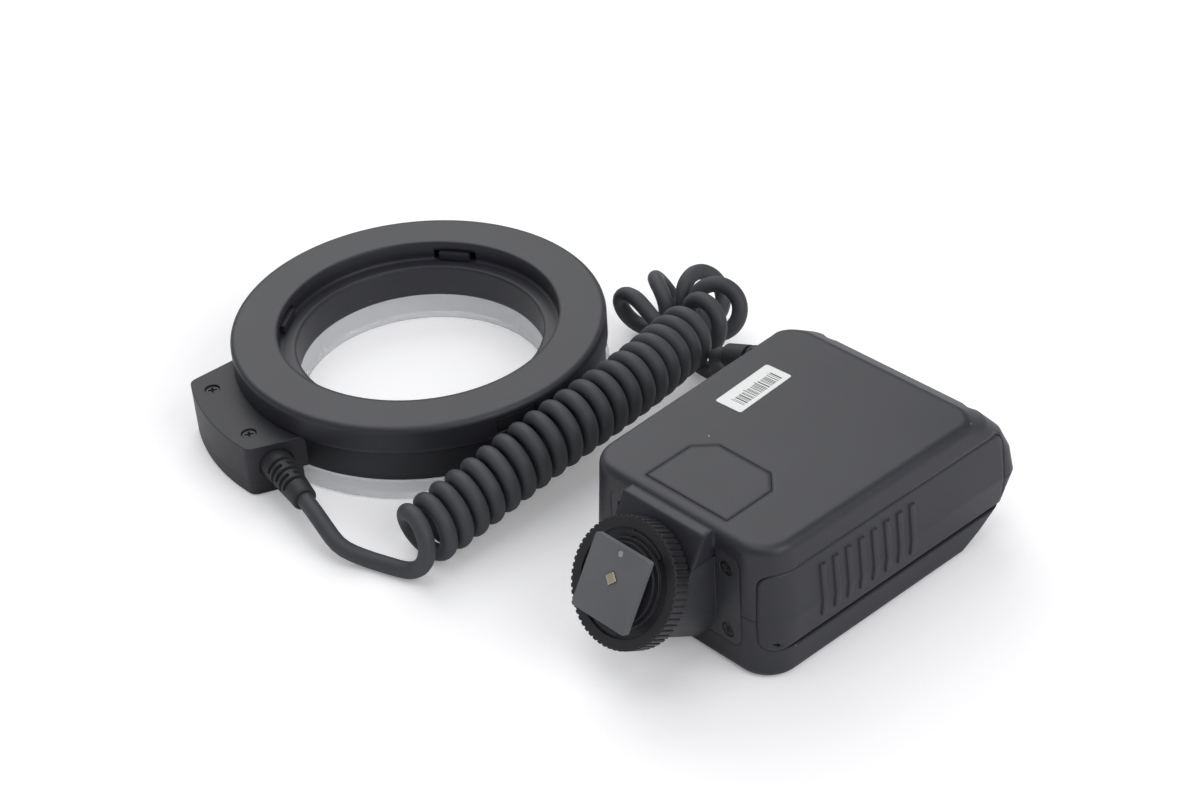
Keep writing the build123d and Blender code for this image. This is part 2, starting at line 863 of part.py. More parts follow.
def badge_block(grow, low, high):
    """The badge's outline, with its two far corners cut, made larger by a margin."""
    with BuildPart() as block:
        with BuildSketch(unit_level(low)) as plan:
            Polygon((-badge_half, badge_near), (badge_half, badge_near),
                    (badge_half, badge_far - badge_corner), (badge_half - badge_corner, badge_far),
                    (badge_corner - badge_half, badge_far), (-badge_half, badge_far - badge_corner),
                    align=None)
            if grow > 0:
                offset(amount=grow, kind=Kind.INTERSECTION)
        extrude(amount=high - low)
    return block.part


def open_shell(block, inner, edges_of):
    """Hollow a block, with its outer edge rounded first."""
    with BuildPart() as shell:
        add(block)
        if edges_of == "top":
            fillet(shell.edges().group_by(Axis.Z)[-1], unit_edge_round)
        else:
            fillet(shell.edges().group_by(Axis.Z)[0], unit_foot_round)
        add(inner, mode=Mode.SUBTRACT)
    return shell.part


pad_top = bracket_high + 2
pad_low = bracket_low - 2
pad_half = bracket_half + 1.5
pad_corner = 1.0
recess_head = shell_screw_floor + screw_head_height
shell_screw_end = unit_seam - shell_screw_bite

with BuildPart() as screw_sleeves:
    add(unit_rods(shell_screw_places, shell_screw_recess + sleeve_wall, unit_seam, unit_height))
    add(upper_block(), mode=Mode.INTERSECT)

with BuildPart() as screw_bosses:
    add(unit_rods(shell_screw_places, boss_radius, 0, unit_seam))
    add(lower_block(unit_wall / 2), mode=Mode.INTERSECT)

with BuildPart() as front_shell:
    add(open_shell(upper_block(), upper_block(unit_wall), "top"))
    add(near_block(pad_half, unit_seam, pad_top, pad_corner, unit_wall / 2, bracket_pad))
    add(neck_block(hood_height, unit_height))
    add(screw_sleeves.part)
    add(door_zone(seam_gap), mode=Mode.SUBTRACT)
    add(unit_rods(shell_screw_places, shell_screw_recess, shell_screw_floor, unit_height + 1),
        mode=Mode.SUBTRACT)
    add(unit_rods(shell_screw_places, screw_shank_radius + running_fit, unit_seam, unit_height),
        mode=Mode.SUBTRACT)
    add(near_block(bracket_half, bracket_low, bracket_high, bracket_corner, 0, bracket_thick),
        mode=Mode.SUBTRACT)
    add(neck_block(hood_height, unit_height))
    add(near_block(neck_half, hood_height, bracket_high + 1, pad_corner, 0, unit_wall))
    add(bracket_rods(screw_shank_radius + running_fit, 0, bracket_pad + 1), mode=Mode.SUBTRACT)
    add(badge_block(badge_groove, badge_low, unit_height), mode=Mode.SUBTRACT)
    add(relief_hole(unit_relief_base, unit_relief_way, unit_relief_stand, unit_relief_back),
        mode=Mode.SUBTRACT)
write(front_shell, "front_shell")

window_ledge = window_recess + window_thick
post_top = main_board_low + main_board_thick
tray_low = cell_height - cell_radius - tray_gap - tray_wall
tray_high = cell_height + cell_radius + tray_gap + tray_wall
knob_slot = knob_length + knob_travel + 2 * running_fit

with BuildPart() as rear_shell:
    add(open_shell(lower_block(), lower_block(unit_wall), "bottom"))
    add(near_block(pad_half, pad_low, unit_seam, pad_corner, unit_wall / 2, bracket_pad))
    add(door_zone(seam_gap), mode=Mode.SUBTRACT)
    add(near_block(bracket_half, bracket_low, bracket_high, bracket_corner, 0, bracket_thick),
        mode=Mode.SUBTRACT)
    add(bracket_rods(screw_shank_radius + running_fit, 0, bracket_pad + 1), mode=Mode.SUBTRACT)
    add(screw_bosses.part)
    add(unit_rods(shell_screw_places, screw_shank_radius + running_fit, shell_screw_end - free_gap,
                  unit_seam), mode=Mode.SUBTRACT)
    add(unit_rods(board_posts, post_shoulder, unit_wall / 2, main_board_low))
    add(unit_rods(board_posts, post_radius, main_board_low, tray_low))
    add(unit_bar(0, window_far, window_width + 2 * running_fit, window_depth + 2 * running_fit,
                 0, window_ledge, 2 + running_fit), mode=Mode.SUBTRACT)
    add(unit_bar(0, window_far, window_width - 2 * window_lip, window_depth - 2 * window_lip,
                 0, unit_wall, 1), mode=Mode.SUBTRACT)
    add(unit_rods(key_places, key_radius + 2 * running_fit, 0, unit_wall), mode=Mode.SUBTRACT)
    add(unit_rods((lamp_place,), lamp_radius + running_fit, 0, unit_wall), mode=Mode.SUBTRACT)
    add(unit_bar(*knob_place, knob_slot, knob_width + 4 * running_fit, 0, unit_wall), mode=Mode.SUBTRACT)
    for start in slot_starts:
        ear = start + seam_gap + running_fit
        ear_end = ear + ear_length
        add(hinge_rod(ear_radius, ear, ear_end))
        add(hinge_bar(-ear_reach, 0, -ear_radius, ear_shelf, ear, ear_end))
        add(hinge_bar(-ear_reach, ear_post - ear_reach, -ear_drop, ear_shelf, ear, ear_end))
        add(hinge_bar(-ear_reach, unit_wall / 2, -ear_drop, -door_bead - free_gap, ear, ear_end))
        add(hinge_rod(pin_bore, ear, ear_end), mode=Mode.SUBTRACT)
write(rear_shell, "rear_shell")

with BuildPart() as battery_door:
    add(unit_block())
    add(unit_block(unit_wall), mode=Mode.SUBTRACT)
    add(door_zone(), mode=Mode.INTERSECT)
    for start in knuckle_starts:
        add(hinge_rod(door_bead, start, start + door_knuckle_length))
    with BuildSketch(hinge_section(-10)):
        with Locations((door_bead, -door_bead)):
            Rectangle(2 * door_bead, 2 * door_bead)
        Circle(door_bead, mode=Mode.SUBTRACT)
    extrude(amount=-2 * unit_far, mode=Mode.SUBTRACT)
    for start in slot_starts:
        add(hinge_bar(-2 * door_bead, ear_radius + free_gap / 2, -2 * door_bead, door_bead + free_gap,
                      start, start + door_knuckle_gap), mode=Mode.SUBTRACT)
    add(hinge_rod(pin_bore, -1, hinge_end + 1), mode=Mode.SUBTRACT)
    with BuildPart(mode=Mode.PRIVATE) as grips:
        add(unit_block(-grip_rise))
        add(unit_block(), mode=Mode.SUBTRACT)
        with BuildSketch(Plane((unit_x, unit_y, 0), x_dir=(0, 1, 0), z_dir=(1, 0, 0))):
            with Locations(*[(grip_start + grip * grip_pitch, (grip_low + grip_high) / 2)
                             for grip in range(grip_count)]):
                Rectangle(grip_width, grip_high - grip_low)
        extrude(amount=unit_far, mode=Mode.INTERSECT)
    add(grips.part)
write(battery_door, "battery_door")

with BuildPart() as hinge_pin:
    add(hinge_rod(door_pin_radius, knuckle_starts[0] + 0.5, hinge_end - 0.5))
write(hinge_pin, "hinge_pin")

cell_rows = [cell_first + cell * cell_pitch for cell in range(cell_count)]
tray_near = cell_first - cell_radius - tray_gap - tray_wall
tray_far = cell_rows[-1] + cell_radius + tray_gap + tray_wall
tray_back = cell_start - contact_thick - tray_wall
tray_front = cell_start + cell_length + cell_nub - tray_open


def cell_rod(row, radius, start, end):
    """A rod along one battery's axis."""
    with BuildPart() as rod:
        with BuildSketch(Plane((unit_x + start, unit_y + row, cell_height),
                               x_dir=(0, 1, 0), z_dir=(1, 0, 0))):
            Circle(radius)
        extrude(amount=end - start)
    return rod.part


with BuildPart() as battery_cells:
    for place, row in enumerate(cell_rows):
        end = cell_start + cell_length
        if place % 2 == 0:
            add(cell_rod(row, cell_radius, cell_start, end))
            add(cell_rod(row, cell_nub_radius, end, end + cell_nub))
        else:
            add(cell_rod(row, cell_radius, cell_start + cell_nub, end + cell_nub))
            add(cell_rod(row, cell_nub_radius, cell_start, cell_start + cell_nub))
write(battery_cells, "battery_cells")

with BuildPart() as battery_tray:
    add(unit_bar((tray_back + tray_front) / 2, (tray_near + tray_far) / 2, tray_front - tray_back,
                 tray_far - tray_near, tray_low, tray_high))
    for row in cell_rows:
        add(cell_rod(row, cell_radius + tray_gap, cell_start - contact_thick, tray_front + 1),
            mode=Mode.SUBTRACT)
write(battery_tray, "battery_tray")

with BuildPart() as cell_contacts:
    for row in cell_rows:
        add(cell_rod(row, contact_width / 2, cell_start - contact_thick, cell_start))
write(cell_contacts, "cell_contacts")

with BuildPart() as door_contacts:
    add(unit_block(unit_wall))
    add(unit_block(unit_wall + contact_thick), mode=Mode.SUBTRACT)
    with BuildSketch(Plane((unit_x, unit_y, 0), x_dir=(0, 1, 0), z_dir=(1, 0, 0))):
        for pair in range(0, cell_count, 2):
            with Locations(((cell_rows[pair] + cell_rows[pair + 1]) / 2, cell_height)):
                Rectangle(cell_pitch + contact_width, contact_width)
    extrude(amount=unit_far, mode=Mode.INTERSECT)
write(door_contacts, "door_contacts")

with BuildPart() as main_board:
    add(unit_bar(0, (main_board_near + main_board_far) / 2, 2 * main_board_half,
                 main_board_far - main_board_near, main_board_low, post_top, main_board_corner))
    add(unit_rods(board_posts, post_radius + running_fit, main_board_low, post_top), mode=Mode.SUBTRACT)
write(main_board, "main_board")

with BuildPart() as board_chips:
    for x, y, width, depth in ((0, 30, 9, 9), (-8, 48, 6, 5), (9, 50, 5, 4), (-4, 18, 5, 4)):
        add(unit_bar(x, y, width, depth, post_top, post_top + 1.4))
write(board_chips, "board_chips")

with BuildPart() as capacitor:
    with BuildSketch(Plane((unit_x - capacitor_length / 2, unit_y + capacitor_far,
                            post_top + capacitor_radius), x_dir=(0, 1, 0), z_dir=(1, 0, 0))):
        Circle(capacitor_radius)
    extrude(amount=capacitor_length)
    chamfer(capacitor.edges().filter_by(GeomType.CIRCLE), 0.6)
write(capacitor, "capacitor")

with BuildPart() as display_module:
    add(unit_bar(0, window_far, window_width + 2 * module_margin, window_depth + 2 * module_margin,
                 unit_wall, unit_wall + module_height))
write(display_module, "display_module")

with BuildPart() as display_window:
    add(unit_bar(0, window_far, window_width, window_depth, window_recess, window_ledge, 2))
write(display_window, "display_window")

flange_low = unit_wall + 0.1
flange_high = flange_low + key_flange_thick
switch_low = main_board_low - 2.2

for place, name in zip(key_places, key_names):
    with BuildPart() as key:
        add(unit_rods((place,), key_radius, key_recess, flange_high))
        add(unit_rods((place,), key_radius + key_flange, flange_low, flange_high))
        add(unit_rods((place,), key_stem_radius, flange_high, switch_low - key_travel - 0.1))
    write(key, name)

with BuildPart() as tact_switches:
    for x, y in key_places:
        add(unit_bar(x, y, 6, 6, switch_low + 0.4, main_board_low))
        add(unit_rods(((x, y),), 1.7, switch_low, switch_low + 0.4))
write(tact_switches, "tact_switches")

with BuildPart() as power_switch_knob:
    knob_x = knob_place[0] - knob_travel / 2
    knob_y = knob_place[1]
    add(unit_bar(knob_x, knob_y, knob_length, knob_width, key_recess + 0.2, flange_high))
    add(unit_bar(knob_x, knob_y, knob_length + knob_travel + 2, knob_width + 2.4, flange_low, flange_high))
    add(unit_rods(((knob_x, knob_y),), 1.0, flange_high, main_board_low - 2.0))
write(power_switch_knob, "power_switch_knob")

with BuildPart() as power_switch:
    add(unit_bar(*knob_place, 9.0, 4.0, main_board_low - 1.8, main_board_low))
write(power_switch, "power_switch")

with BuildPart() as pilot_lamp:
    add(unit_rods((lamp_place,), lamp_radius, key_recess, main_board_low))
    add(unit_rods((lamp_place,), lamp_radius + 0.5, unit_wall, unit_wall + 1))
write(pilot_lamp, "pilot_lamp")

with BuildPart() as badge_plate:
    add(badge_block(0, badge_low, unit_height))
write(badge_plate, "badge_plate")

with BuildPart() as barcode_label:
    with BuildSketch(unit_level(unit_height)):
        with Locations(Location((*label_place, 0), (0, 0, label_turn))):
            RectangleRounded(label_width, label_length, 0.8)
    extrude(amount=label_thick)
write(barcode_label, "barcode_label")

with BuildPart() as shell_screws:
    add(unit_rods(shell_screw_places, screw_head_radius, shell_screw_floor, recess_head))
    add(unit_rods(shell_screw_places, screw_shank_radius, shell_screw_end, shell_screw_floor))
write(shell_screws, "shell_screws")

write(strain_relief(unit_relief_base, unit_relief_way, unit_relief_length, unit_relief_stand,
                    unit_relief_back), "unit_strain_relief")


# Hot-shoe foot and lock wheel

with BuildPart() as shoe_bracket:
    add(near_block(bracket_half, bracket_low, bracket_high, bracket_corner, 0, bracket_thick))
    add(near_block(neck_half + free_gap, hood_height, bracket_high + 1, 0.2, -1, bracket_thick + 1),
        mode=Mode.SUBTRACT)
    add(neck_block(0.5, hood_height))
    add(shoe_rod(neck_bore + running_fit, neck_start, neck_start + spigot_length + 0.5),
        mode=Mode.SUBTRACT)
    add(bracket_rods(screw_shank_radius + running_fit, 0, bracket_thick), mode=Mode.SUBTRACT)
    add(bracket_rods(screw_head_radius + running_fit, 0, bracket_thick / 2), mode=Mode.SUBTRACT)
write(shoe_bracket, "shoe_bracket")

with BuildPart() as bracket_screws:
    add(bracket_rods(screw_head_radius, 0.1, bracket_thick / 2))
    add(bracket_rods(screw_shank_radius, bracket_thick / 2, bracket_screw_length))
write(bracket_screws, "bracket_screws")

with BuildPart() as hot_shoe_foot:
    with BuildSketch(shoe_plane(0)):
        Rectangle(foot_width, foot_length)
    extrude(amount=-foot_thick)
    chamfer(hot_shoe_foot.edges().filter_by(lambda edge: abs(edge.length - foot_thick) < 0.01), foot_corner)
    add(shoe_rod(stem_radius, foot_thick, neck_start))
    add(shoe_rod(neck_bore, neck_start, neck_start + spigot_length))
    with BuildSketch(shoe_plane(0)):
        with Locations((0, contact_offset)):
            Rectangle(contact_side + 2 * running_fit, contact_side + 2 * running_fit, rotation=45)
    extrude(amount=-(contact_length + contact_travel + 0.1), mode=Mode.SUBTRACT)
    add(shoe_rod(pin_radius + running_fit, 0, foot_thick, 0, pin_offset), mode=Mode.SUBTRACT)
write(hot_shoe_foot, "hot_shoe_foot")

with BuildPart() as centre_contact:
    with BuildSketch(shoe_plane(-contact_rise)):
        with Locations((0, contact_offset)):
            Rectangle(contact_side, contact_side, rotation=45)
    extrude(amount=-(contact_length + contact_rise))
    fillet(centre_contact.faces().sort_by(Axis.Z)[-1].edges(), 0.2)
write(centre_contact, "centre_contact")

with BuildPart() as pressure_ring:
    add(shoe_rod(pressure_radius, pressure_start, pressure_start + pressure_thick))
    add(shoe_rod(stem_radius + running_fit, pressure_start, pressure_start + pressure_thick),
        mode=Mode.SUBTRACT)
    add(shoe_rod(pin_radius + running_fit / 2, pressure_start, pressure_start + pressure_thick,
                 0, pin_offset), mode=Mode.SUBTRACT)
write(pressure_ring, "pressure_ring")

with BuildPart() as lock_pin:
    add(shoe_rod(pin_radius, 0.1, pressure_start + pressure_thick, 0, pin_offset))
write(lock_pin, "lock_pin")

with BuildPart() as lock_wheel:
    with BuildSketch(shoe_plane(wheel_start)):
        Circle(wheel_radius)
        with PolarLocations(wheel_radius, wheel_knurls):
            Rectangle(2 * wheel_knurl_depth, wheel_knurl_depth * 1.8, mode=Mode.SUBTRACT)
        Circle(stem_radius + running_fit, mode=Mode.SUBTRACT)
    extrude(amount=-wheel_thick)
    with BuildSketch(shoe_plane(wheel_start)):
        Circle(wheel_dish_radius)
        Circle(pressure_radius + 1, mode=Mode.SUBTRACT)
    extrude(amount=-wheel_dish_depth, mode=Mode.SUBTRACT)
write(lock_wheel, "lock_wheel")


# Curly cord and its two leads

axis_line = Spline(*cord_axis)


def pitch_at(length):
    """Length of axis for one curl: wide at the start, and opened out round the bend."""
    first = start_pitch + (curl_pitch - start_pitch) * min(1, max(0, length / start_pitch * 2))
    into = min(1, max(0, (length - bend_start + bend_ease) / bend_ease))
    out = min(1, max(0, (bend_start + bend_length + bend_ease - length) / bend_ease))
    return first + (bend_pitch - curl_pitch) * min(into, out)


def radius_at(length):
    """Radius of the curls, drawn in a little round the bend."""
    into = min(1, max(0, (length - bend_start + bend_ease) / bend_ease))
    out = min(1, max(0, (bend_start + bend_length + bend_ease - length) / bend_ease))
    return curl_radius + (curl_bend_radius - curl_radius) * min(into, out)


def curl_point(length, turn):
    """A point of the cord at a length along the axis and a turn in degrees."""
    inside = min(max(length, 0), axis_line.length)
    ahead = axis_line.tangent_at(inside, PositionMode.LENGTH)
    centre = axis_line.position_at(inside, PositionMode.LENGTH) + ahead * (length - inside)
    side = ahead.cross(Vector(0, 0, 1)).normalized()
    up = side.cross(ahead)
    angle = math.radians(turn)
    return centre + (side * math.cos(angle) + up * math.sin(angle)) * radius_at(length)


def curl_heading(length, turn):
    """The direction of the cord at a point of its curls."""
    step = 1.0
    rate = pitch_at(length) * step / 360
    return (curl_point(length + rate, turn + step) - curl_point(length - rate, turn - step)).normalized()


axis_step = 0.05
axis_turns = [0.0]
while len(axis_turns) * axis_step < axis_line.length:
    axis_turns.append(axis_turns[-1] + 360 * axis_step / pitch_at(len(axis_turns) * axis_step))
curl_turns = math.floor((axis_turns[-1] - curl_spare_turn) / 360) + curl_spare_turn / 360
curl_halves = round(2 * curl_turns)
curl_stretch = 360 * curl_turns / axis_turns[-1]


def curl_knot(half):
    """The length along the axis and the turn at one of the ends of the half curls."""
    turned = 360 * curl_turns * half / curl_halves
    stop = sum(1 for reached in axis_turns if reached * curl_stretch < turned - 0.01)
    return stop * axis_step, curl_start + turned


def biarc(start, start_way, end, end_way):
    """Two arcs that join two points with a given direction at each."""
    chord = end - start
    along = chord.dot(start_way + end_way)
    bend = 2 * (1 - start_way.dot(end_way))
    reach = (math.sqrt(along**2 + bend * chord.dot(chord)) - along) / bend
    knee = start + start_way * reach
    elbow = end - end_way * reach
    middle = (knee + elbow) / 2
    return [TangentArc(start, middle, tangent=start_way), TangentArc(middle, end, tangent=elbow - knee)]


curl_knots = [curl_knot(half) for half in range(curl_halves + 1)]
curl_points = [curl_point(*knot) for knot in curl_knots]
curl_ways = [curl_heading(*knot) for knot in curl_knots]
cord_width = 2 * cord_radius
coil_start = curl_points[0] - curl_ways[0] * cord_width
coil_end = curl_points[-1] + curl_ways[-1] * cord_width
curl_edges = [Line(coil_start, curl_points[0])]
for start, start_way, end, end_way in zip(curl_points, curl_ways, curl_points[1:], curl_ways[1:]):
    curl_edges += biarc(start, start_way, end, end_way)
curl_edges.append(Line(curl_points[-1], coil_end))

with BuildPart() as curly_cord:
    with BuildLine() as curl_path:
        add(curl_edges)
    with BuildSketch(Plane(coil_start, z_dir=curl_ways[0])):
        Circle(cord_radius)
    sweep(path=curl_path.wires()[0])
write(curly_cord, "curly_cord")


def lead(points, name):
    """A lead of straight runs joined by arcs as large as the runs allow."""
    runs = [end - start for start, end in zip(points, points[1:])]
    radii = []
    for run, after in zip(runs, runs[1:]):
        half_turn = math.radians(run.get_angle(after)) / 2
        radii.append(0.45 * min(run.length, after.length) / math.tan(half_turn))
    with BuildPart() as tube:
        with BuildLine() as route:
            FilletPolyline(*points, radius=radii)
        with BuildSketch(Plane(points[0], z_dir=runs[0])):
            Circle(cord_radius)
        sweep(path=route.wires()[0])
    write(tube, name)
    length = sum(edge.length for edge in route.edges())
    print(name, "runs", [round(run.length, 1) for run in runs])
    print(name, "radii", [round(radius, 1) for radius in radii])
    print(name, "length", round(length, 1), "volume over section times length",
          round(tube.part.volume / (math.pi * cord_radius**2 * length), 4))
    return [route.wires()[0].position_at(place / 40) for place in range(41)]


ring_tip = ring_relief_base + ring_relief_way * relief_length
unit_tip = unit_relief_base + unit_relief_way * unit_relief_length
ring_lead_points = lead([ring_tip, ring_tip + ring_relief_way * lead_end_run,
                         *[Vector(*point) for point in ring_lead_route],
                         coil_start - curl_ways[0] * lead_end_run, coil_start], "ring_lead")
unit_lead_points = lead([unit_tip, unit_tip + unit_relief_way * (lead_end_run - 1),
                         *[Vector(*point) for point in unit_lead_route],
                         coil_end + curl_ways[-1] * (lead_end_run - 1), coil_end], "unit_lead")

# The least gaps of the cord, measured on points of its path
samples = 10
coil_points = [edge.position_at(place / samples) for edge in curl_edges for place in range(samples)]
apart = 2 * samples
own_gap = min(math.dist((*start,), (*end,)) for place, start in enumerate(coil_points)
              for end in coil_points[place + apart:]) - cord_width
ring_gap = min(math.dist((point.X, point.Y), (ring_x, ring_y)) for point in coil_points
               if point.Z < ring_height + cord_radius) - ring_radius - cord_radius
for name, points in (("ring_lead", ring_lead_points), ("unit_lead", unit_lead_points)):
    lead_gap = min(math.dist((*start,), (*end,)) for start in points[3:-3]
                   for end in coil_points[samples:-samples]) - cord_width
    print(name, "least gap to the coil", round(lead_gap, 2))
arc_radii = [edge.radius for edge in curl_edges[1:-1]]
print("curls", round(curl_turns, 2), "cord length", round(sum(edge.length for edge in curl_edges), 1))
print("least gap of the coil to itself", round(own_gap, 2), "to the ring", round(ring_gap, 2),
      "lowest point", round(min(point.Z for point in coil_points) - cord_radius, 2))
print("arc radii", round(min(arc_radii), 2), "to", round(max(arc_radii), 2))
print("coil volume over section times length", round(
    curly_cord.part.volume / (math.pi * cord_radius**2 * sum(edge.length for edge in curl_edges)), 4))
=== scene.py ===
import json
import math
import random

import bpy
import bmesh
from mathutils import Matrix, Vector


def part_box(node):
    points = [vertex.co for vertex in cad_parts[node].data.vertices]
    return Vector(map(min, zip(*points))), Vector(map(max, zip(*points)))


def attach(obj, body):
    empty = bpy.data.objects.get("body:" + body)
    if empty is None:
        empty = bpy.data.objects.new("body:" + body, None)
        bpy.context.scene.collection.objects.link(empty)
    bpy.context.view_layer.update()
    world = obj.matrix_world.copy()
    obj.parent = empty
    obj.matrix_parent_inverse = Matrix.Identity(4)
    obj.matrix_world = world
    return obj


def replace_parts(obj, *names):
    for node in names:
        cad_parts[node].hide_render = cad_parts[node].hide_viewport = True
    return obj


# A ring flash on a pale table: the light ring on its clear diffuser, a curly cord, and the
# control unit on its display side. Metres, +Z up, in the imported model's own frame.

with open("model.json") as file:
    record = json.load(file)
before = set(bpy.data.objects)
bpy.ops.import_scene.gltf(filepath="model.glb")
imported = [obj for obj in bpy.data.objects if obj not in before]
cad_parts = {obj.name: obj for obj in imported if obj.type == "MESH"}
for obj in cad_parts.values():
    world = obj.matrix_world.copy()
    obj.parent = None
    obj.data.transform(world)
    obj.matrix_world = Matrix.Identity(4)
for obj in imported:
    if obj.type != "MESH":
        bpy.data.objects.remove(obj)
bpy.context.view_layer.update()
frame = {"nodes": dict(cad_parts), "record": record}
scene = bpy.context.scene
mm = 0.001

# Camera: it was fitted to the ring's circles, the control unit's corners and the foot
camera_place = Vector((430.2, -366.4, 426.7)) * mm
camera_heading = math.radians(138.13)
camera_pitch = math.radians(35.616)
camera_roll = math.radians(-3.965)
camera_lens = 75.0
camera_sensor = 36

# Light ring
ring_centre = Vector((-57.413, 1.825, 0)) * mm
arm_angle = -103.7
arm_screw_spread = 12.0
arm_screw_radius = 62.4 * mm
arm_screw_top = 15.8 * mm

# Control unit
unit_corner = Vector((76.087, -24.825, 0)) * mm
near_face = -2.5 * mm
screw_head = 2.1 * mm
bracket_screw_x = 18 * mm
bracket_screw_heights = (11.5 * mm, 31.5 * mm)
shoe_face = Vector((76.087, -50.025, 30.7)) * mm
shoe_tilt = math.radians(31)
shoe_out = Vector((0, -math.cos(shoe_tilt), math.sin(shoe_tilt)))

# Raised arrows on the lock wheel, in its dish round the neck
wheel_dish_floor = 5.8 * mm
arrow_radius = 12.7 * mm
arrow_half = 0.55 * mm
arrow_raised = 0.45 * mm
arrow_starts = (52, 232)
arrow_bend = 50
arrow_head = 9

# Strain reliefs: where each leaves its wall, its direction and its length
ring_boot = dict(base=Vector((-50.39, -58.82, 9.2)) * mm, heading=-15.0, droop=0.0,
                 length=20 * mm, start=-0.65 * mm)
unit_boot = dict(base=Vector((40.533, 54.475, 25)) * mm, heading=184.4, droop=15.0,
                 length=23 * mm, start=0.9 * mm)
boot_base_radius = 4.75 * mm
boot_tip_radius = 3.5 * mm
boot_edge = 0.4 * mm
boot_collar = 1.2 * mm
slot_count = 5
slot_first = 4.2 * mm
slot_step = 2.35 * mm
slot_width = 1.0 * mm
slot_depth = 1.1 * mm
slot_slope = 0.15 * mm
slot_inset = 0.02 * mm
slot_bridge = 14

# Cord
cord_radius = 2.4 * mm
curl_radius = 7.2 * mm
curl_bend_radius = 6.8 * mm
curl_pitch = 5.6 * mm
bend_pitch = 11.6 * mm
start_pitch = 18 * mm
curl_start = -90.0
curls = 24.583
bend_start = 122 * mm
bend_length = 46 * mm
bend_ease = 8 * mm
points_per_curl = 16
corner_cut = 1.3
axis_step = 0.05 * mm
ring_end_run = 6 * mm
unit_end_run = 5 * mm
cord_axis = (
    (5.2, -61.0, 9.8), (5.7, -52.9, 10.1), (6.1, -38.1, 11.9), (6.7, -24.5, 14.4),
    (7.4, -11.0, 16.7), (7.8, 1.3, 18.0), (7.3, 14.6, 18.4), (5.9, 28.3, 18.2),
    (3.7, 39.1, 17.5), (0.5, 52.0, 16.8), (-2.0, 64.5, 15.6), (-3.9, 72.2, 14.8),
    (-10.2, 77.7, 13.6), (-18.6, 77.7, 12.0), (-25.1, 72.2, 10.6), (-26.8, 64.9, 9.9),
    (-26.0, 58.0, 9.8),
)
ring_lead_route = ((-19.0, -67.0, 7.8), (-12.0, -67.9, 4.8))
unit_lead_route = (
    (12.4, 54.9, 11.6), (9.6, 57.6, 5.8), (3.2, 59.6, 2.9), (-3.8, 60.6, 3.1), (-9.8, 60.4, 6.6),
)

# Sticker: widths of its bars and the gaps between them
label_turn = math.radians(3)
bars_from, bars_to = -7.6 * mm, 8.4 * mm
bars_left, bars_long_left, bars_right = -1.0 * mm, -1.5 * mm, 3.0 * mm
long_bar_every = 8
bar_widths = (0.14, 0.16, 0.26, 0.42)
bar_gaps = (0.26, 0.36, 0.56)
bar_thick = 0.02 * mm

# Light: name, place, size and power of each lamp, and two levels of the table and the surround,
# one for the light that they give and one for what the camera sees
lamps = (
    ("lamp_left", (-0.9, 0.5, 1.0), 1.2, 8.0),
    ("lamp_right", (1.0, 0.1, 0.75), 0.9, 6.0),
    ("lamp_top", (0.0, -0.2, 1.5), 1.0, 5.0),
)
table_half = 3.0
table_drop = 0.05 * mm
table_colour = (0.93, 0.925, 0.94, 1)
table_glow = (0.0, 0.2)
surround_colour = (0.95, 0.965, 1.0, 1)
surround_levels = (0.36, 0.97)


def turned_to(axis, up=Vector((0, 0, 1))):
    """A rotation whose Z is an axis and whose Y lies nearest to another direction."""
    z = axis.normalized()
    x = up.cross(z).normalized()
    return Matrix((x, z.cross(x), z)).transposed()


def place_camera():
    """The photograph's camera, from its place, heading, pitch and roll."""
    level = Vector((math.cos(camera_heading), math.sin(camera_heading), 0))
    ahead = level * math.cos(camera_pitch) - Vector((0, 0, math.sin(camera_pitch)))
    right = ahead.cross(Vector((0, 0, 1))).normalized()
    up = right.cross(ahead)
    rolled = right * math.cos(camera_roll) + up * math.sin(camera_roll)
    data = bpy.data.cameras.new("camera")
    data.lens = camera_lens
    data.sensor_width = camera_sensor
    data.clip_start = 0.02
    camera = bpy.data.objects.new("camera", data)
    camera.matrix_world = Matrix.Translation(camera_place) @ Matrix(
        (rolled, (-ahead).cross(rolled), -ahead)).transposed().to_4x4()
    scene.collection.objects.link(camera)
    scene.camera = camera


place_camera()


# Materials: node groups that several finishes share

dust_cells = 110.0
dust_share = 0.72
dust_colour = (0.45, 0.44, 0.42, 1)
tone_from, tone_to = 0.3, 0.7
rubbed_from, rubbed_to = 0.998, 0.86


def new_group(name, inputs, outputs):
    """A shader node group with float or vector sockets."""
    group = bpy.data.node_groups.new(name, "ShaderNodeTree")
    for socket, kind, value in inputs:
        made = group.interface.new_socket(socket, in_out="INPUT", socket_type=kind)
        if value is not None:
            made.default_value = value
    for socket, kind in outputs:
        group.interface.new_socket(socket, in_out="OUTPUT", socket_type=kind)
    return group, group.nodes.new("NodeGroupInput"), group.nodes.new("NodeGroupOutput")


def put(tree, kind, inputs=None, **settings):
    """A node with its settings, and its inputs set to values or linked from sockets."""
    node = tree.nodes.new(kind)
    for key, value in settings.items():
        setattr(node, key, value)
    for key, value in (inputs or {}).items():
        if isinstance(value, bpy.types.NodeSocket):
            tree.links.new(value, node.inputs[key])
        else:
            node.inputs[key].default_value = value
    return node


def ramp(tree, value, low, high):
    """A value stretched so that low gives 0 and high gives 1, kept in between."""
    stretched = put(tree, "ShaderNodeMapRange", {"Value": value, "From Min": low, "From Max": high})
    return stretched.outputs[0]


def spread(tree, value, low, high):
    """A value from 0 to 1 turned into one from low to high."""
    turned = put(tree, "ShaderNodeMapRange", {"Value": value, "To Min": low, "To Max": high})
    return turned.outputs[0]


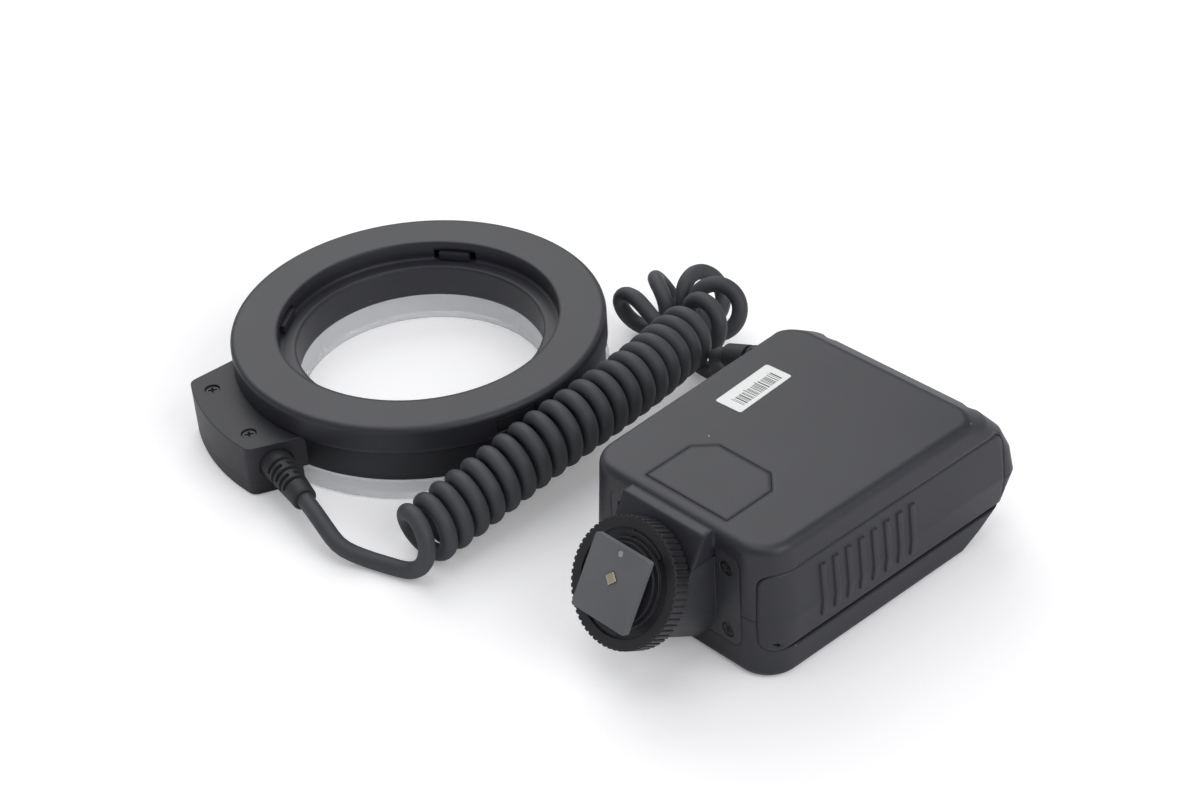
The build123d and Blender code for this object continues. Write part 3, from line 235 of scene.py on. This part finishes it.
def make_grain():
    """Fine moulded grain, and slow changes of tone over a surface."""
    group, given, out = new_group("moulded_grain", [
        ("Grain", "NodeSocketFloat", 2600.0), ("Tone", "NodeSocketFloat", 40.0)],
        [("Height", "NodeSocketFloat"), ("Tone", "NodeSocketFloat")])
    place = put(group, "ShaderNodeTexCoord").outputs["Object"]
    for scale, detail, result in (("Grain", 2.0, "Height"), ("Tone", 3.0, "Tone")):
        noise = put(group, "ShaderNodeTexNoise", {
            "Vector": place, "Scale": given.outputs[scale], "Detail": detail})
        group.links.new(noise.outputs[0], out.inputs[result])
    return group


def make_wear():
    """Where edges are rubbed, and a normal that rounds the edges a little."""
    group, given, out = new_group("edge_wear", [("Width", "NodeSocketFloat", 0.0004)],
                                  [("Mask", "NodeSocketFloat"), ("Normal", "NodeSocketVector")])
    rounded = put(group, "ShaderNodeBevel", {"Radius": given.outputs["Width"]}, samples=6).outputs[0]
    true_normal = put(group, "ShaderNodeNewGeometry").outputs["Normal"]
    alike = put(group, "ShaderNodeVectorMath", {0: rounded, 1: true_normal}, operation="DOT_PRODUCT")
    group.links.new(ramp(group, alike.outputs["Value"], rubbed_from, rubbed_to), out.inputs["Mask"])
    group.links.new(rounded, out.inputs["Normal"])
    return group


def make_dust():
    """A few pale specks of dust."""
    group, given, out = new_group("dust_specks", [("Size", "NodeSocketFloat", 0.035)],
                                  [("Mask", "NodeSocketFloat")])
    place = put(group, "ShaderNodeTexCoord").outputs["Object"]
    cell = put(group, "ShaderNodeTexVoronoi", {"Vector": place, "Scale": dust_cells})
    chance = put(group, "ShaderNodeSeparateXYZ", {0: cell.outputs["Color"]}).outputs[0]
    some = ramp(group, chance, dust_share, 1.0)
    size = put(group, "ShaderNodeMath", {0: some, 1: given.outputs["Size"]}, operation="MULTIPLY")
    inside = put(group, "ShaderNodeMath", {0: cell.outputs["Distance"], 1: size.outputs[0]},
                 operation="LESS_THAN")
    group.links.new(inside.outputs[0], out.inputs["Mask"])
    return group


grain_group, wear_group, dust_group = make_grain(), make_wear(), make_dust()


def grouped(tree, group, **values):
    """A shared group placed in a material with its own values."""
    node = tree.nodes.new("ShaderNodeGroup")
    node.node_tree = group
    for key, value in values.items():
        node.inputs[key].default_value = value
    return node


def mixed(tree, mask, first, second):
    """One colour over another by a mask."""
    return put(tree, "ShaderNodeMix", {0: mask, 6: first, 7: second}, data_type="RGBA").outputs[2]


def finish(name, colour, roughness, grain=2600.0, depth=0.00002, tone=0.12, wear=0.0,
           worn=(0.2, 0.2, 0.2, 1), edge=0.0004, dust=0.0, metallic=0.0, shine=0.5):
    """A moulded or machined finish: tone changes, grain, rubbed edges and dust."""
    material = bpy.data.materials.new(name)
    material.use_nodes = True
    tree = material.node_tree
    shader = tree.nodes["Principled BSDF"]
    shader.inputs["Metallic"].default_value = metallic
    shader.inputs["Specular IOR Level"].default_value = shine
    texture = grouped(tree, grain_group, Grain=grain)
    rubbed = grouped(tree, wear_group, Width=edge)
    shade = ramp(tree, texture.outputs["Tone"], tone_from, tone_to)
    dark = [channel * (1 - tone) for channel in colour[:3]] + [1]
    light = [channel * (1 + tone) for channel in colour[:3]] + [1]
    surface = mixed(tree, shade, dark, light)
    if wear:
        amount = put(tree, "ShaderNodeMath", {0: rubbed.outputs["Mask"], 1: wear},
                     operation="MULTIPLY")
        surface = mixed(tree, amount.outputs[0], surface, worn)
    if dust:
        specks = grouped(tree, dust_group, Size=dust)
        surface = mixed(tree, specks.outputs["Mask"], surface, dust_colour)
    tree.links.new(surface, shader.inputs["Base Color"])
    rough = spread(tree, texture.outputs["Height"], roughness - 0.05, roughness + 0.05)
    tree.links.new(rough, shader.inputs["Roughness"])
    bump = put(tree, "ShaderNodeBump", {"Height": texture.outputs["Height"], "Distance": depth,
                                        "Normal": rubbed.outputs["Normal"]})
    tree.links.new(bump.outputs[0], shader.inputs["Normal"])
    return material


def clear_plastic(name, colour, roughness, grain, depth, clearness, painted_glow=0.0):
    """Clear plastic, frosted by its grain, with a painted glow: an even emission that stands in for light
    scattered in it.
    """
    material = bpy.data.materials.new(name)
    material.use_nodes = True
    tree = material.node_tree
    shader = tree.nodes["Principled BSDF"]
    shader.inputs["Transmission Weight"].default_value = clearness
    shader.inputs["IOR"].default_value = 1.49
    shader.inputs["Base Color"].default_value = colour
    shader.inputs["Emission Color"].default_value = (1, 1, 1, 1)
    # Painted glow: emission in place of light scattered through the frosted plastic
    shader.inputs["Emission Strength"].default_value = painted_glow
    texture = grouped(tree, grain_group, Grain=grain)
    rough = spread(tree, texture.outputs["Tone"], roughness - 0.04, roughness + 0.04)
    tree.links.new(rough, shader.inputs["Roughness"])
    bump = put(tree, "ShaderNodeBump", {"Height": texture.outputs["Height"], "Distance": depth})
    tree.links.new(bump.outputs[0], shader.inputs["Normal"])
    return material


finishes = {
    "shell_plastic": finish("shell_plastic", (0.0215, 0.022, 0.029), 0.42, grain=3200, depth=0.00001,
                            wear=0.12, worn=(0.06, 0.06, 0.068, 1), edge=0.0016, dust=0.045),
    "housing_plastic": finish("housing_plastic", (0.0195, 0.020, 0.0255), 0.46, grain=2800, depth=0.00001,
                              wear=0.2, worn=(0.06, 0.06, 0.067, 1), edge=0.0005, dust=0.03, shine=0.42),
    "key_plastic": finish("key_plastic", (0.13, 0.13, 0.14), 0.5, wear=0.3, worn=(0.25, 0.25, 0.26, 1)),
    "wheel_plastic": finish("wheel_plastic", (0.016, 0.016, 0.018), 0.36, depth=0.00001, wear=0.4,
                            worn=(0.1, 0.1, 0.1, 1), edge=0.0003, dust=0.02),
    "foot_plastic": finish("foot_plastic", (0.135, 0.137, 0.145), 0.55, grain=2400, wear=0.35,
                           worn=(0.18, 0.18, 0.185, 1), edge=0.0002),
    "cord_rubber": finish("cord_rubber", (0.052, 0.054, 0.060), 0.55, grain=1800, depth=0.00003, tone=0.2,
                          edge=0.0001, dust=0.025, shine=0.4),
    "boot_rubber": finish("boot_rubber", (0.026, 0.027, 0.030), 0.55, grain=1800, depth=0.00003,
                          edge=0.0001, shine=0.4),
    "white_inside": finish("white_inside", (0.8, 0.8, 0.79), 0.5),
    "board": finish("board", (0.03, 0.14, 0.07), 0.35, tone=0.2),
    "chip": finish("chip", (0.02, 0.02, 0.02), 0.5),
    "lamp": finish("lamp", (0.85, 0.82, 0.6), 0.25, tone=0.05),
    "bracket_metal": finish("bracket_metal", (0.034, 0.035, 0.041), 0.4, grain=2200, wear=0.35,
                            worn=(0.11, 0.11, 0.115, 1), edge=0.0003),
    "screw_steel": finish("screw_steel", (0.05, 0.05, 0.052), 0.38, metallic=0.9, wear=0.5,
                          worn=(0.3, 0.3, 0.3, 1), edge=0.0001),
    "bright_steel": finish("bright_steel", (0.62, 0.61, 0.58), 0.28, metallic=1.0, tone=0.05),
    "contact_metal": finish("contact_metal", (0.66, 0.58, 0.42), 0.3, metallic=1.0, tone=0.08),
    "cell_jacket": finish("cell_jacket", (0.2, 0.22, 0.26), 0.35, metallic=0.4, tone=0.05),
    "capacitor_sleeve": finish("capacitor_sleeve", (0.03, 0.035, 0.09), 0.35),
    "display": finish("display", (0.3, 0.34, 0.27), 0.15, tone=0.04, depth=0.000001),
    "label": finish("label", (0.84, 0.84, 0.83), 0.5, tone=0.02, depth=0.000003),
    "label_ink": finish("label_ink", (0.03, 0.03, 0.03), 0.5),
    # The diffuser's small emission is a painted glow for light scattered through it
    "clear_diffuser": clear_plastic("clear_diffuser", (0.93, 0.94, 0.96, 1), 0.22, grain=500,
                                    depth=0.00006, clearness=0.72, painted_glow=0.04),
    "clear_window": clear_plastic("clear_window", (0.8, 0.83, 0.84, 1), 0.06, grain=900,
                                  depth=0.000002, clearness=1.0),
}

slot_of = {entry["node"]: entry["material_slot"] for entry in frame["record"]["subparts"]}
for node, piece in frame["nodes"].items():
    for slot in piece.material_slots:
        slot.link = "OBJECT"
        slot.material = finishes[slot_of[node]]


# Mesh helpers

sharp_angle = math.radians(32)


def add_piece(name, mesh, body, slot, smooth=True):
    """An object of a mesh with a finish, riding on a body."""
    piece = bpy.data.objects.new(name, mesh)
    scene.collection.objects.link(piece)
    mesh.materials.append(finishes[slot])
    if smooth:
        for polygon in mesh.polygons:
            polygon.use_smooth = True
        mesh.set_sharp_from_angle(angle=sharp_angle)
    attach(piece, body)
    return piece


def mesh_from(name, build):
    """A mesh that a function fills through bmesh, with its normals outward."""
    mesh = bpy.data.meshes.new(name)
    shape = bmesh.new()
    build(shape)
    bmesh.ops.recalc_face_normals(shape, faces=shape.faces)
    shape.to_mesh(mesh)
    shape.free()
    return mesh


def add_ring(shape, points):
    """A closed loop of vertices."""
    return [shape.verts.new(point) for point in points]


def join_rings(shape, first, second):
    """Quads between two loops of as many vertices."""
    count = len(first)
    for turn in range(count):
        after = (turn + 1) % count
        shape.faces.new((first[turn], first[after], second[after], second[turn]))


def on_circle(radius, turn, around, height):
    """One of the points that divide a circle evenly."""
    angle = 2 * math.pi * turn / around
    return Vector((radius * math.cos(angle), radius * math.sin(angle), height))


def add_prism(shape, outline, low, high, place):
    """A prism over an outline of (x, y), set by a matrix."""
    bottom = add_ring(shape, [place @ Vector((x, y, low)) for x, y in outline])
    top = add_ring(shape, [place @ Vector((x, y, high)) for x, y in outline])
    join_rings(shape, bottom, top)
    shape.faces.new(bottom)
    shape.faces.new(top)


# Cord: the curls follow a smooth route read from its own spline

def new_spline(name, points):
    """A smooth open curve with the points as its control points."""
    curve = bpy.data.curves.new(name, "CURVE")
    curve.dimensions = "3D"
    spline = curve.splines.new("NURBS")
    spline.points.add(len(points) - 1)
    for target, point in zip(spline.points, points):
        target.co = (*point, 1)
    spline.order_u = 3
    spline.use_endpoint_u = True
    return curve


def read_route(points):
    """Points along the spline that the points make, and the length to each."""
    curve = new_spline("route", points)
    curve.resolution_u = 40
    carrier = bpy.data.objects.new("route", curve)
    scene.collection.objects.link(carrier)
    mesh = bpy.data.meshes.new_from_object(carrier)
    line = [vertex.co.copy() for vertex in mesh.vertices]
    bpy.data.objects.remove(carrier)
    bpy.data.meshes.remove(mesh)
    lengths = [0.0]
    for start, end in zip(line, line[1:]):
        lengths.append(lengths[-1] + (end - start).length)
    return line, lengths


axis_line, axis_lengths = read_route([Vector(point) * mm for point in cord_axis])


def on_axis(length):
    """The place and direction of the curls' axis at a length, carried on past its ends."""
    inside = min(max(length, 0), axis_lengths[-1])
    step = next(place for place in range(1, len(axis_lengths)) if axis_lengths[place] >= inside)
    start, end = axis_line[step - 1], axis_line[step]
    ahead = (end - start).normalized()
    return start + ahead * (length - axis_lengths[step - 1]), ahead


def in_bend(length):
    """How far a length of the axis is in the far bend, from 0 to 1."""
    into = min(1, max(0, (length - bend_start + bend_ease) / bend_ease))
    out = min(1, max(0, (bend_start + bend_length + bend_ease - length) / bend_ease))
    return min(into, out)


def pitch_at(length):
    """Length of axis for one curl: wide at the start, and opened out round the bend."""
    first = start_pitch + (curl_pitch - start_pitch) * min(1, max(0, length / start_pitch * 2))
    return first + (bend_pitch - curl_pitch) * in_bend(length)


def curl_point(length, turn):
    """A control point of the cord, a little outside the curl because the spline cuts corners."""
    centre, ahead = on_axis(length)
    side = ahead.cross(Vector((0, 0, 1))).normalized()
    up = side.cross(ahead)
    angle = math.radians(turn)
    radius = curl_radius + (curl_bend_radius - curl_radius) * in_bend(length)
    reach = radius / math.cos(math.pi / points_per_curl) ** corner_cut
    return centre + (side * math.cos(angle) + up * math.sin(angle)) * reach


def curl_route():
    """Control points of all the curls, evenly spaced in turn."""
    turns = [0.0]
    while len(turns) * axis_step < axis_lengths[-1]:
        turns.append(turns[-1] + 360 * axis_step / pitch_at(len(turns) * axis_step))
    stretch = 360 * curls / turns[-1]
    count = round(curls * points_per_curl)
    points, place = [], 0
    for number in range(count + 1):
        turned = 360 * curls * number / count
        while place < len(turns) - 1 and turns[place] * stretch < turned - 0.01:
            place += 1
        points.append(curl_point(place * axis_step, curl_start + turned))
    return points


def curl_heading(length, turn):
    """The direction of the curls' tube at a length along the axis and a turn in degrees."""
    step = pitch_at(length) / 360
    return (curl_point(length + step, turn + 1) - curl_point(length - step, turn - 1)).normalized()


def boot_way(boot):
    """The direction in which a strain relief points."""
    heading, droop = math.radians(boot["heading"]), math.radians(boot["droop"])
    level = Vector((math.cos(heading), math.sin(heading), 0))
    return level * math.cos(droop) - Vector((0, 0, math.sin(droop)))


def make_cord():
    """The whole cord on one spline: a lead, the curls and the other lead."""
    coil = curl_route()
    coil_way = curl_heading(0, curl_start)
    coil_end_way = curl_heading(axis_lengths[-1], curl_start + 360 * curls)
    ring_tip = ring_boot["base"] + boot_way(ring_boot) * ring_boot["length"]
    unit_tip = unit_boot["base"] + boot_way(unit_boot) * unit_boot["length"]
    straight = 2 * cord_radius
    points = [ring_tip, ring_tip + boot_way(ring_boot) * ring_end_run]
    points += [Vector(point) * mm for point in ring_lead_route]
    points += [coil[0] - coil_way * (straight + ring_end_run), coil[0] - coil_way * straight]
    points += coil
    points += [coil[-1] + coil_end_way * straight, coil[-1] + coil_end_way * (straight + unit_end_run)]
    points += [Vector(point) * mm for point in reversed(unit_lead_route)]
    points += [unit_tip + boot_way(unit_boot) * unit_end_run, unit_tip]
    curve = new_spline("cord", points)
    curve.bevel_depth = cord_radius
    curve.bevel_resolution = 6
    curve.resolution_u = 3
    curve.use_fill_caps = True
    curve.materials.append(finishes["cord_rubber"])
    cord = bpy.data.objects.new("cord", curve)
    scene.collection.objects.link(cord)
    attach(cord, "flash")
    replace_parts(cord, "ring_lead", "curly_cord", "unit_lead")
    return cord, ring_tip


cord, cord_exit = make_cord()


def boot_piece(name, boot, node):
    """A tapered strain relief with slots cut round it, bridged on alternate sides."""
    place = Matrix.Translation(boot["base"]) @ turned_to(boot_way(boot)).to_4x4()
    start, end = boot["start"], boot["length"]
    around = 96

    def radius_at(length, turn):
        along = (length - start) / (end - start)
        radius = boot_base_radius + (boot_tip_radius - boot_base_radius) * along
        number = math.floor((length - slot_first) / slot_step)
        within = length - slot_first - number * slot_step
        if 0 <= number < slot_count and within < slot_width:
            side = (360 * turn / around + 90 * (number % 2)) % 180
            if slot_bridge < side < 180 - slot_bridge:
                radius -= slot_depth
        return radius

    def build(shape):
        stops = [start, start + 0.3 * mm]
        for number in range(slot_count):
            begin = slot_first + number * slot_step
            stops += [begin - slot_slope, begin + slot_inset, begin + slot_width - slot_inset,
                      begin + slot_width + slot_slope]
        stops += [end - boot_collar, end - 0.5 * mm, end]
        rings = []
        for stop in stops:
            squeeze = boot_edge if stop in (start, end) else 0
            rings.append(add_ring(shape, [
                place @ on_circle(radius_at(stop, turn) - squeeze, turn, around, stop)
                for turn in range(around)]))
        for first, second in zip(rings, rings[1:]):
            join_rings(shape, first, second)
        shape.faces.new(rings[0])
        shape.faces.new(rings[-1])

    piece = add_piece(name, mesh_from(name, build), "flash", "cord_rubber")
    piece.data.materials[0] = finishes["boot_rubber"]
    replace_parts(piece, node)
    return piece


boots = [boot_piece("ring_boot", ring_boot, "ring_strain_relief"),
         boot_piece("unit_boot", unit_boot, "unit_strain_relief")]


# Screws with a cross recess, whose sizes are shares of the head's

cross_half, cross_reach = 0.17, 0.62
cross_taper, cross_depth = 0.7, 0.55
head_edge = 0.2 * mm


def add_screw(shape, centre, way, head, height, shank, length):
    """A screw: a flat head with a cross recess, and its shank."""
    place = Matrix.Translation(centre) @ turned_to(way, Vector((0.3, 0.5, 0.8))).to_4x4()
    around = 40
    loops = []
    for radius, level in ((head - head_edge, 0), (head, -head_edge), (head, -height),
                          (shank, -height), (shank, -length)):
        loops.append(add_ring(shape, [place @ on_circle(radius, turn, around, level)
                                      for turn in range(around)]))
    for first, second in zip(loops, loops[1:]):
        join_rings(shape, first, second)
    shape.faces.new(loops[-1])
    half, reach = cross_half * head, cross_reach * head
    corners = []
    for quarter in range(4):
        turn = Matrix.Rotation(math.pi / 2 * quarter, 2)
        corners += [turn @ Vector(corner) for corner in ((half, -half), (reach, -half), (reach, half))]
    top = add_ring(shape, [place @ Vector((x, y, 0)) for x, y in corners])
    floor = add_ring(shape, [place @ Vector((x * cross_taper, y * cross_taper, -cross_depth * height))
                             for x, y in corners])
    join_rings(shape, top, floor)
    shape.faces.new(floor)
    edges = [shape.edges.get((loop[turn - 1], loop[turn]))
             for loop in (loops[0], top) for turn in range(len(loop))]
    bmesh.ops.triangle_fill(shape, edges=edges, use_beauty=True)


def screw_set(name, node, places, way, height, shank, length):
    """The screws of one CAD node, with their recesses."""
    def build(shape):
        for centre in places:
            add_screw(shape, centre, way, screw_head, height, shank, length)
    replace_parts(add_piece(name, mesh_from(name, build), "flash", "screw_steel"), node)


def around_ring(radius, angle, height):
    """A point about the ring's axis."""
    return ring_centre + on_circle(radius, angle, 360, height)


screw_set("arm_screw_set", "arm_screws",
          [around_ring(arm_screw_radius, arm_angle + side * arm_screw_spread, arm_screw_top)
           for side in (-1, 1)],
          Vector((0, 0, 1)), height=1.6 * mm, shank=1.1 * mm, length=11.4 * mm)
screw_set("bracket_screw_set", "bracket_screws",
          [unit_corner + Vector((side * bracket_screw_x, near_face + 0.1 * mm, height))
           for side in (-1, 1) for height in bracket_screw_heights],
          Vector((0, -1, 0)), height=0.7 * mm, shank=1.1 * mm, length=3.3 * mm)


# Sticker bars: plain bars that encode nothing

def make_label_bars():
    """Bars printed on the sticker, some of them longer."""
    low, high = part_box("barcode_label")
    centre = (Vector(low) + Vector(high)) / 2
    place = (Matrix.Translation((centre.x, centre.y, high[2]))
             @ Matrix.Rotation(label_turn, 4, "Z"))
    rng = random.Random(4)

    def build(shape):
        along, number = bars_from, 0
        while along < bars_to:
            end = along + rng.choice(bar_widths) * mm
            left = bars_long_left if number % long_bar_every == 0 else bars_left
            add_prism(shape, [(left, along), (bars_right, along), (bars_right, end), (left, end)],
                      0.0, bar_thick, place)
            along = end + rng.choice(bar_gaps) * mm
            number += 1

    add_piece("label_bars", mesh_from("label_bars", build), "flash", "label_ink", smooth=False)


make_label_bars()


# Raised marks: turning arrows on the lock wheel, and signs on two keys

def make_wheel_arrows():
    """Two raised arrows that follow the wheel's rim."""
    place = Matrix.Translation(shoe_face - shoe_out * wheel_dish_floor) @ turned_to(shoe_out).to_4x4()

    def at(radius, degrees):
        return on_circle(radius, degrees, 360, 0).xy

    def build(shape):
        for start in arrow_starts:
            bend = range(start, start + arrow_bend, 2)
            neck, tip = start + arrow_bend - 1, start + arrow_bend + arrow_head
            outline = [at(arrow_radius + arrow_half, angle) for angle in bend]
            outline += [at(arrow_radius + 1.9 * arrow_half, neck), at(arrow_radius, tip),
                        at(arrow_radius - 1.9 * arrow_half, neck)]
            outline += [at(arrow_radius - arrow_half, angle) for angle in reversed(bend)]
            add_prism(shape, outline, -0.1 * mm, arrow_raised, place)

    add_piece("wheel_arrows", mesh_from("wheel_arrows", build), "wheel", "wheel_plastic",
              smooth=False)


def make_key_signs():
    """A plus and a minus raised on the two keys beside the display."""
    reach, half, thick = 1.3 * mm, 0.22 * mm, 0.05 * mm
    for node, body, bars in (("plus_button", "plus_key", 2), ("minus_button", "minus_key", 1)):
        low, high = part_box(node)
        centre = Vector(((low[0] + high[0]) / 2, (low[1] + high[1]) / 2, low[2]))

        def build(shape):
            for bar in range(bars):
                place = Matrix.Translation(centre) @ Matrix.Rotation(math.pi / 2 * bar, 4, "Z")
                add_prism(shape, [(-reach, -half), (reach, -half), (reach, half), (-reach, half)],
                          -thick, thick + bar * 0.002 * mm, place)

        add_piece(node + "_sign", mesh_from(node + "_sign", build), body, "label", smooth=False)


make_wheel_arrows()
make_key_signs()


# Floor, light and world

def by_camera(tree, levels):
    """The first level for the light that reaches the object, the second for the camera."""
    seen = put(tree, "ShaderNodeLightPath").outputs["Is Camera Ray"]
    return spread(tree, seen, *levels)


def make_table():
    """A pale table that nothing rides on."""
    mesh = bpy.data.meshes.new("table")
    corners = [(x * table_half, y * table_half, 0) for x, y in ((-1, -1), (1, -1), (1, 1), (-1, 1))]
    mesh.from_pydata(corners, [], [(0, 1, 2, 3)])
    table = bpy.data.objects.new("table", mesh)
    table.location.z = -table_drop
    scene.collection.objects.link(table)
    material = bpy.data.materials.new("table_white")
    material.use_nodes = True
    tree = material.node_tree
    shader = tree.nodes["Principled BSDF"]
    shader.inputs["Base Color"].default_value = table_colour
    shader.inputs["Roughness"].default_value = 0.6
    shader.inputs["Specular IOR Level"].default_value = 0.15
    shader.inputs["Emission Color"].default_value = (1, 1, 1, 1)
    tree.links.new(by_camera(tree, table_glow), shader.inputs["Emission Strength"])
    mesh.materials.append(material)


def make_lamps():
    """Soft square lamps that face the middle of the scene."""
    for name, place, size, power in lamps:
        data = bpy.data.lights.new(name, "AREA")
        data.size = size
        data.energy = power
        lamp = bpy.data.objects.new(name, data)
        lamp.location = place
        lamp.rotation_euler = Vector(place).to_track_quat("Z", "Y").to_euler()
        scene.collection.objects.link(lamp)


def make_surround():
    """An even pale surround."""
    world = bpy.data.worlds.new("surround")
    scene.world = world
    world.use_nodes = True
    tree = world.node_tree
    background = tree.nodes["Background"]
    background.inputs["Color"].default_value = surround_colour
    tree.links.new(by_camera(tree, surround_levels), background.inputs["Strength"])


make_table()
make_lamps()
make_surround()
scene.view_settings.view_transform = "Standard"
